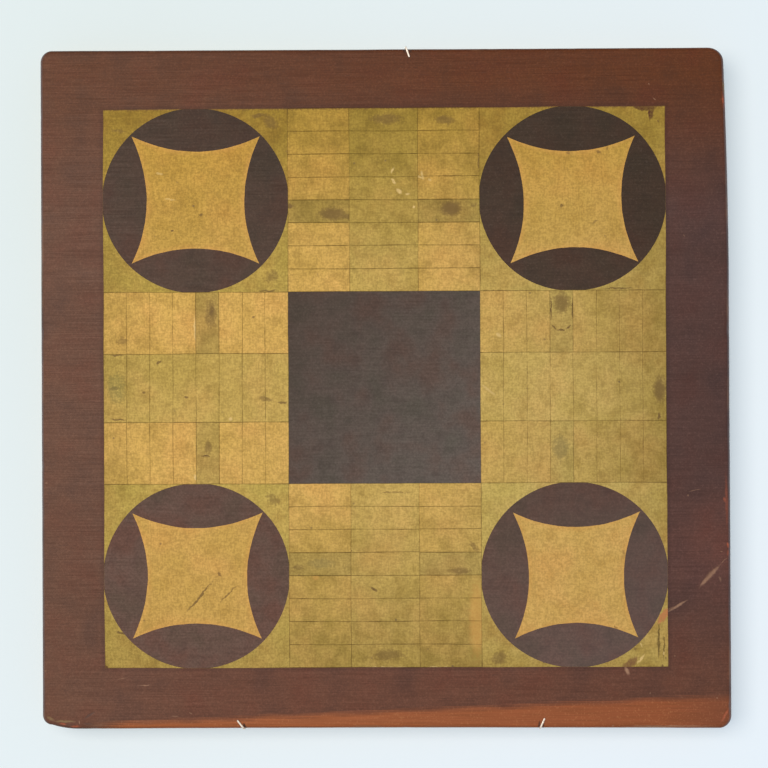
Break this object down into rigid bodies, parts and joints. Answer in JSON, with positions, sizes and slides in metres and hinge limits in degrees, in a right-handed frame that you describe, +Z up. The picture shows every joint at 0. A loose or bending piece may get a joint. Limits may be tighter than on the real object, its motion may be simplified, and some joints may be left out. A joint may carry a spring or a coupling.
{
  "type": "pachisi board",
  "caption": "Square wooden pachisi board with a gilded cross of cells round a dark square, a star in a disc in each corner, battens behind, and bent pins that hold it on a wall.",
  "frame": {"origin": "on the wall's surface, behind the middle of the playing field", "axes": "+Z up the wall, +X to the right of someone who faces the board, and the board's face looks along -Y"},
  "size_m": [0.508, 0.051, 0.5056],
  "materials": {
    "stained_wood": "dark stain under worn shellac, satin",
    "dark_square": "dark brown paint on the wood, satin",
    "home_gold": "aged gold leaf on the wood, olive toned",
    "track_gold": "aged gold leaf on the wood, honey toned",
    "safe_gold": "aged gold leaf on the wood with a darker glaze",
    "corner_gold": "aged gold leaf on the wood, olive toned",
    "dark_disc": "dark brown paint on the wood, satin",
    "star_gold": "aged gold leaf on the wood, honey toned",
    "batten_wood": "bare, aged and oxidised",
    "screw_steel": "dull, lightly rusted",
    "pin_wire": "bright drawn wire"
  },
  "bodies": {
    "board": {"board_panel": "stained_wood", "middle_square": "dark_square", "top_arm_home_column": "home_gold", "top_arm_left_inner_run": "track_gold", "top_arm_left_safe_space": "safe_gold", "top_arm_left_outer_run": "track_gold", "top_arm_right_inner_run": "track_gold", "top_arm_right_safe_space": "safe_gold", "top_arm_right_outer_run": "track_gold", "left_arm_home_column": "home_gold", "left_arm_left_inner_run": "track_gold", "left_arm_left_safe_space": "safe_gold", "left_arm_left_outer_run": "track_gold", "left_arm_right_inner_run": "track_gold", "left_arm_right_safe_space": "safe_gold", "left_arm_right_outer_run": "track_gold", "bottom_arm_home_column": "home_gold", "bottom_arm_left_inner_run": "track_gold", "bottom_arm_left_safe_space": "safe_gold", "bottom_arm_left_outer_run": "track_gold", "bottom_arm_right_inner_run": "track_gold", "bottom_arm_right_safe_space": "safe_gold", "bottom_arm_right_outer_run": "track_gold", "right_arm_home_column": "home_gold", "right_arm_left_inner_run": "track_gold", "right_arm_left_safe_space": "safe_gold", "right_arm_left_outer_run": "track_gold", "right_arm_right_inner_run": "track_gold", "right_arm_right_safe_space": "safe_gold", "right_arm_right_outer_run": "track_gold", "top_left_ground": "corner_gold", "top_left_disc": "dark_disc", "top_left_star": "star_gold", "top_right_ground": "corner_gold", "top_right_disc": "dark_disc", "top_right_star": "star_gold", "bottom_left_ground": "corner_gold", "bottom_left_disc": "dark_disc", "bottom_left_star": "star_gold", "bottom_right_ground": "corner_gold", "bottom_right_disc": "dark_disc", "bottom_right_star": "star_gold", "left_batten": "batten_wood", "left_batten_upper_screw": "screw_steel", "left_batten_middle_screw": "screw_steel", "left_batten_lower_screw": "screw_steel", "right_batten": "batten_wood", "right_batten_upper_screw": "screw_steel", "right_batten_middle_screw": "screw_steel", "right_batten_lower_screw": "screw_steel"},
    "top_pin": {"top_pin": "pin_wire"},
    "bottom_left_pin": {"bottom_left_pin": "pin_wire"},
    "bottom_right_pin": {"bottom_right_pin": "pin_wire"}
  },
  "joints": [
    {"name": "top_pin_turn", "type": "hinge", "parent": "board", "child": "top_pin", "pos_m": [0.0169, 0, 0.2521], "axis": [0, -1, 0], "continuous": true},
    {"name": "bottom_left_pin_turn", "type": "hinge", "parent": "board", "child": "bottom_left_pin", "pos_m": [-0.105, 0, -0.2521], "axis": [0, -1, 0], "continuous": true},
    {"name": "bottom_right_pin_turn", "type": "hinge", "parent": "board", "child": "bottom_right_pin", "pos_m": [0.1136, 0, -0.2521], "axis": [0, -1, 0], "continuous": true}
  ]
}
